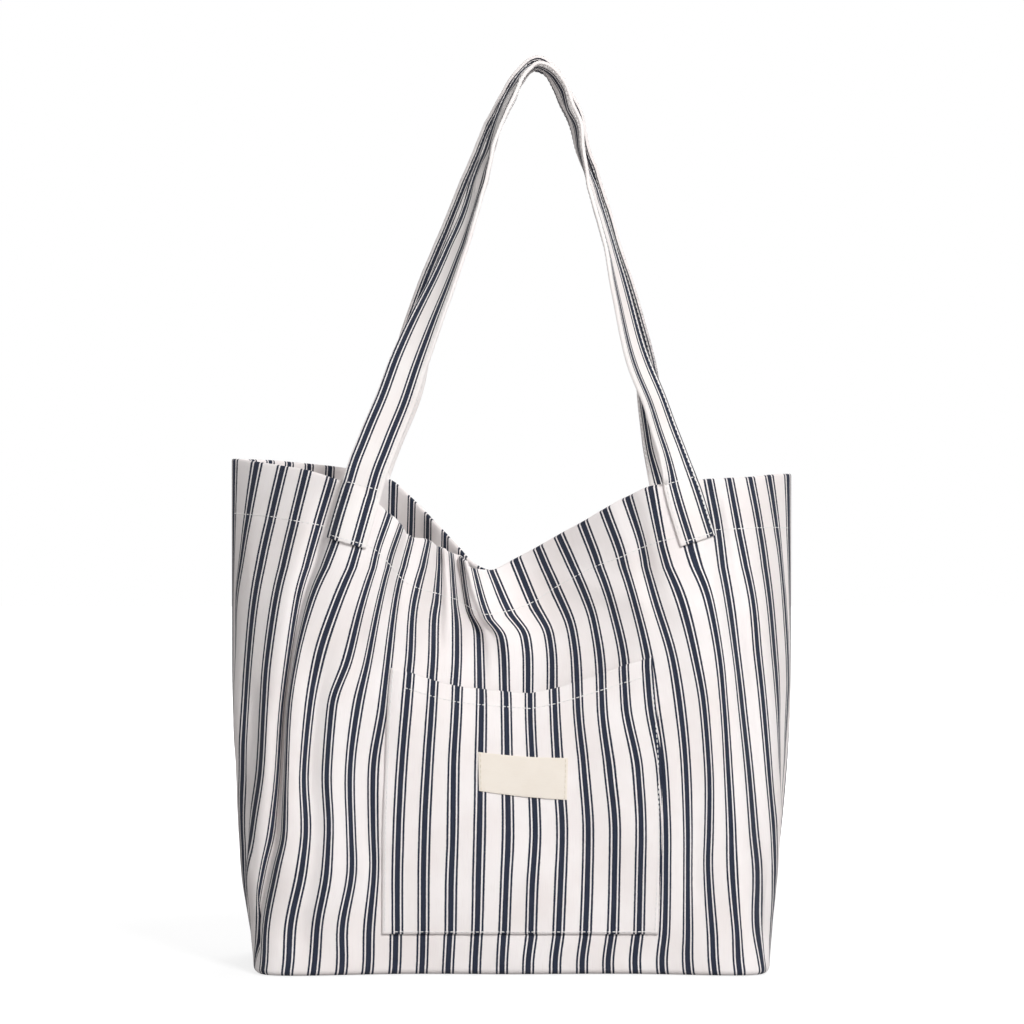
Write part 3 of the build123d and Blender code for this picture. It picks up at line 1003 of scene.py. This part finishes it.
class Shader:
    def __init__(self, name):
        self.material = bpy.data.materials.new(name)
        self.material.use_nodes = True
        self.tree = self.material.node_tree
        self.surface = self.tree.nodes["Principled BSDF"]

    def node(self, kind, settings=None, inputs=None):
        made = self.tree.nodes.new(kind)
        for key, given in (settings or {}).items():
            setattr(made, key, given)
        pairs = (inputs or {}).items() if isinstance(inputs, dict) else enumerate(inputs or [])
        for key, given in pairs:
            if given is None:
                continue
            if isinstance(given, Value):
                self.tree.links.new(given.socket, made.inputs[key])
            else:
                made.inputs[key].default_value = given
        return made

    def value(self, kind, settings=None, inputs=None, output=0):
        return Value(self, self.node(kind, settings, inputs).outputs[output])

    def ramp(self, value, low, high):
        settings = {"interpolation_type": "SMOOTHSTEP"}
        return self.value("ShaderNodeMapRange", settings, [value, low, high, 0.0, 1.0])

    def mixed(self, share, first, second):
        return self.value("ShaderNodeMix", {"data_type": "RGBA"}, {0: share, 6: first, 7: second}, 2)

    def noise(self, vector, scale, detail):
        inputs = {"Vector": vector, "Scale": scale, "Detail": detail, "Roughness": 0.5}
        return self.value("ShaderNodeTexNoise", {}, inputs)

    def connect(self, key, value):
        self.tree.links.new(value.socket, self.surface.inputs[key])

    def bump(self, height, strength, distance):
        inputs = {"Strength": strength, "Distance": distance, "Height": height}
        self.connect("Normal", self.value("ShaderNodeBump", {}, inputs))

    def settle(self, values):
        for key, given in values.items():
            self.surface.inputs[key].default_value = given


# height of a plain weave with that thread spacing
def weave(across, down, thread):
    warp, weft = ((place * (math.pi / thread)).maths("SINE") for place in (across, down))
    return warp.maths("ABSOLUTE") * 0.5 + weft.maths("ABSOLUTE") * 0.5 + warp * weft * 0.35


# half the wide stripe, the thin stripes' near and far edges, and what softens them, in mm
ticking = {
    "wide": 1.78,
    "thinFrom": 2.72,
    "thinTo": 4.08,
    "edge": 0.13,
    "fray": 0.28,
    "stagger": 0.06,
    "thread": 0.52,
    "twill": 0.62,
}


def tickingMaterial(name, white, navy):
    shader = Shader(name)
    plane = shader.value("ShaderNodeUVMap")
    across, down = (shader.value("ShaderNodeSeparateXYZ", {}, [plane], i) for i in (0, 1))
    spot = shader.value("ShaderNodeCombineXYZ", {}, [across * 1.6, down * 0.8, 0.0])
    fray = shader.noise(spot, 1.0, 1.0) - 0.5
    stagger = (down * (math.pi / 0.5)).maths("SINE") * ticking["stagger"]
    offset = (across / stripePitch + 0.5).maths("FRACT") - 0.5
    away = (offset * stripePitch).maths("ABSOLUTE") + fray * ticking["fray"] + stagger

    def past(line):
        return shader.ramp(away, ticking[line] - ticking["edge"], ticking[line] + ticking["edge"])

    dark = (1 - past("wide") + past("thinFrom") * (1 - past("thinTo"))).maths("MINIMUM", 1.0)
    slubs = shader.noise(shader.value("ShaderNodeCombineXYZ", {}, [across * 1.9, down * 0.09, 0.0]), 1.0, 2.0)
    cloud = shader.noise(plane, 0.018, 3.0)
    warm = shader.mixed(shader.ramp(cloud, 0.35, 0.7), white, colour(243, 235, 233))
    warm = shader.mixed(shader.ramp(slubs, 0.5, 0.85) * 0.35, warm, colour(230, 220, 217))
    twill = ((across + down * 0.8) * (math.pi / ticking["twill"])).maths("SINE")
    deep = shader.mixed(shader.ramp(slubs, 0.3, 0.8) * 0.7, navy, colour(54, 60, 78))
    deep = shader.mixed(shader.ramp(twill, 0.5, 0.95) * 0.25, deep, colour(92, 98, 118))
    shader.connect("Base Color", shader.mixed(dark, warm, deep))
    shader.bump(weave(across, down, ticking["thread"]) + slubs * 0.5, 0.32, 0.00022)
    shader.connect("Roughness", 0.82 + slubs * 0.12)
    shader.settle({"Specular IOR Level": 0.25, "Sheen Weight": 0.12, "Sheen Roughness": 0.5})
    return shader.material


def plainCloth(name, base, second, thread, strength):
    shader = Shader(name)
    spot = shader.value("ShaderNodeTexCoord", {}, {}, "Object")
    x, y, z = (shader.value("ShaderNodeSeparateXYZ", {}, [spot], i) / metre for i in (0, 1, 2))
    cloud = shader.noise(spot, 60.0, 3.0)
    threads = shader.noise(shader.value("ShaderNodeCombineXYZ", {}, [x * 0.2, y * 0.2, z * 2.4]), 1.0, 2.0)
    share = shader.ramp(cloud, 0.3, 0.7) * 0.6 + shader.ramp(threads, 0.4, 0.8) * 0.4
    shader.connect("Base Color", shader.mixed(share, base, second))
    shader.bump(weave(x + y, z, thread) + threads * 0.4, strength, 0.0002)
    shader.connect("Roughness", 0.78 + cloud * 0.15)
    shader.settle({"Specular IOR Level": 0.25})
    return shader.material


bodyTicking = tickingMaterial("bodyTicking", colour(249, 243, 242), colour(30, 35, 52))
strapTicking = tickingMaterial("strapTicking", colour(248, 243, 241), colour(32, 37, 54))
labelCloth = plainCloth("labelCloth", colour(243, 234, 223), colour(239, 229, 217), 0.45, 0.35)
whiteThread = plainCloth("whiteThread", colour(247, 245, 243), colour(232, 230, 230), 0.3, 0.4)
creamThread = plainCloth("creamThread", colour(238, 228, 212), colour(225, 213, 196), 0.3, 0.4)
tapeCloth = plainCloth("tapeCloth", colour(238, 230, 222), colour(224, 214, 205), 0.8, 0.6)


def dressed(made, material):
    made.data.materials.clear()
    made.data.materials.append(material)


for made in (frontCloth, backCloth, pocketCloth):
    dressed(made, bodyTicking)
for made in (frontStrap, backStrap):
    dressed(made, strapTicking)
for made in (frontHemStitches, backHemStitches, pocketStitches, frontStrapStitches, backStrapStitches):
    dressed(made, whiteThread)
dressed(labelStitches, creamThread)
dressed(pocketLabel, labelCloth)
for made in tapePieces.values():
    dressed(made, tapeCloth)
print("materials given")

for made in (frontCloth, backCloth, pocketCloth, pocketLabel, frontHemStitches, backHemStitches,
             pocketStitches, labelStitches, *tapePieces.values()):
    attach(made, "bag")
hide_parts("front_panel", "front_hem")
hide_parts("back_panel", "back_hem")
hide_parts("front_pocket", "pocket_hem")
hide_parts("pocket_label")
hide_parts("front_handle", "front_handle_left_end", "front_handle_right_end")
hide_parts("back_handle", "back_handle_left_end", "back_handle_right_end")
for name, (_, _, node) in tapes.items():
    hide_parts(node)
hinge = 0.0613586
for made, handle, side in (
    (frontStrap, "front_handle", -1), (frontStrapStitches, "front_handle", -1),
    (backStrap, "back_handle", 1), (backStrapStitches, "back_handle", 1),
):
    side * hinge
    side * hinge
    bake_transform(made)
print("pieces ride")


studio = {
    "world": 0.31,
    "lamps": {
        "key": {"power": 53, "size": 0.7, "at": (1.0, -2.1, 1.6), "look": (0, 0, 0.25)},
        "fill": {"power": 8, "size": 1.8, "at": (-1.6, -2.0, 1.0), "look": (0, 0, 0.25)},
        "top": {"power": 3, "size": 1.6, "at": (0.2, 0.5, 2.4), "look": (0, 0, 0.3)},
        "rear": {"power": 46, "size": 1.5, "at": (0.9, 2.3, 1.5), "look": (0, 0, 0.25)},
    },
}


def makeStudio():
    for name, spec in studio["lamps"].items():
        data = bpy.data.lights.new(name, "AREA")
        data.energy = spec["power"]
        data.size = spec["size"]
        lamp = placed(name, data)
        lamp.location = spec["at"]
        towards = Vector(spec["look"]) - Vector(spec["at"])
        lamp.rotation_euler = towards.to_track_quat("-Z", "Y").to_euler()
    world = bpy.data.worlds.new("world")
    bpy.context.scene.world = world
    world.use_nodes = True
    tree = world.node_tree
    background = tree.nodes["Background"]
    seen = tree.nodes.new("ShaderNodeBackground")
    for node, strength in ((background, studio["world"]), (seen, 1.0)):
        node.inputs[0].default_value = (1, 1, 1, 1)
        node.inputs[1].default_value = strength
    path = tree.nodes.new("ShaderNodeLightPath")
    chosen = tree.nodes.new("ShaderNodeMixShader")
    for i, output in enumerate((path.outputs["Is Camera Ray"], background.outputs[0], seen.outputs[0])):
        tree.links.new(output, chosen.inputs[i])
    tree.links.new(chosen.outputs[0], tree.nodes["World Output"].inputs[0])


# a sheet of paper that fades to the white behind it
paper = {
    "half": 6,
    "height": -0.0004,
    "shade": (0.42, 0.42, 0.42, 1),
    "glow": 2.4,
    "fade": (0.3, 1.1),  # metres from the middle
    "near": 0.33,  # share of the glow near the bag, and what is added far off
    "added": 0.37,
}


def makeFloor():
    work = bmesh.new()
    place = Matrix.Translation((0, 0, paper["height"]))
    bmesh.ops.create_grid(work, x_segments=1, y_segments=1, size=paper["half"], matrix=place)
    floor = placed("floor", meshOf("floor", work))
    shader = Shader("floorPaper")
    shader.settle({"Base Color": paper["shade"], "Roughness": 0.9, "Specular IOR Level": 0.0})
    glow = shader.node("ShaderNodeEmission", {}, {0: (1, 1, 1, 1), 1: paper["glow"]})
    spot = shader.value("ShaderNodeTexCoord", {}, {}, "Object")
    distance = shader.value("ShaderNodeVectorMath", {"operation": "LENGTH"}, [spot], "Value")
    shown = paper["near"] + shader.ramp(distance, *paper["fade"]) * paper["added"]
    seen = shader.value("ShaderNodeLightPath", {}, {}, "Is Camera Ray") * shown
    plain = Value(shader, shader.surface.outputs[0])
    mixer = shader.node("ShaderNodeMixShader", {}, [seen, plain, Value(shader, glow.outputs[0])])
    shader.tree.links.new(mixer.outputs[0], shader.tree.nodes["Material Output"].inputs[0])
    floor.data.materials.append(shader.material)


makeStudio()
makeFloor()
bpy.context.scene.view_settings.view_transform = "Standard"
print("studio lit")
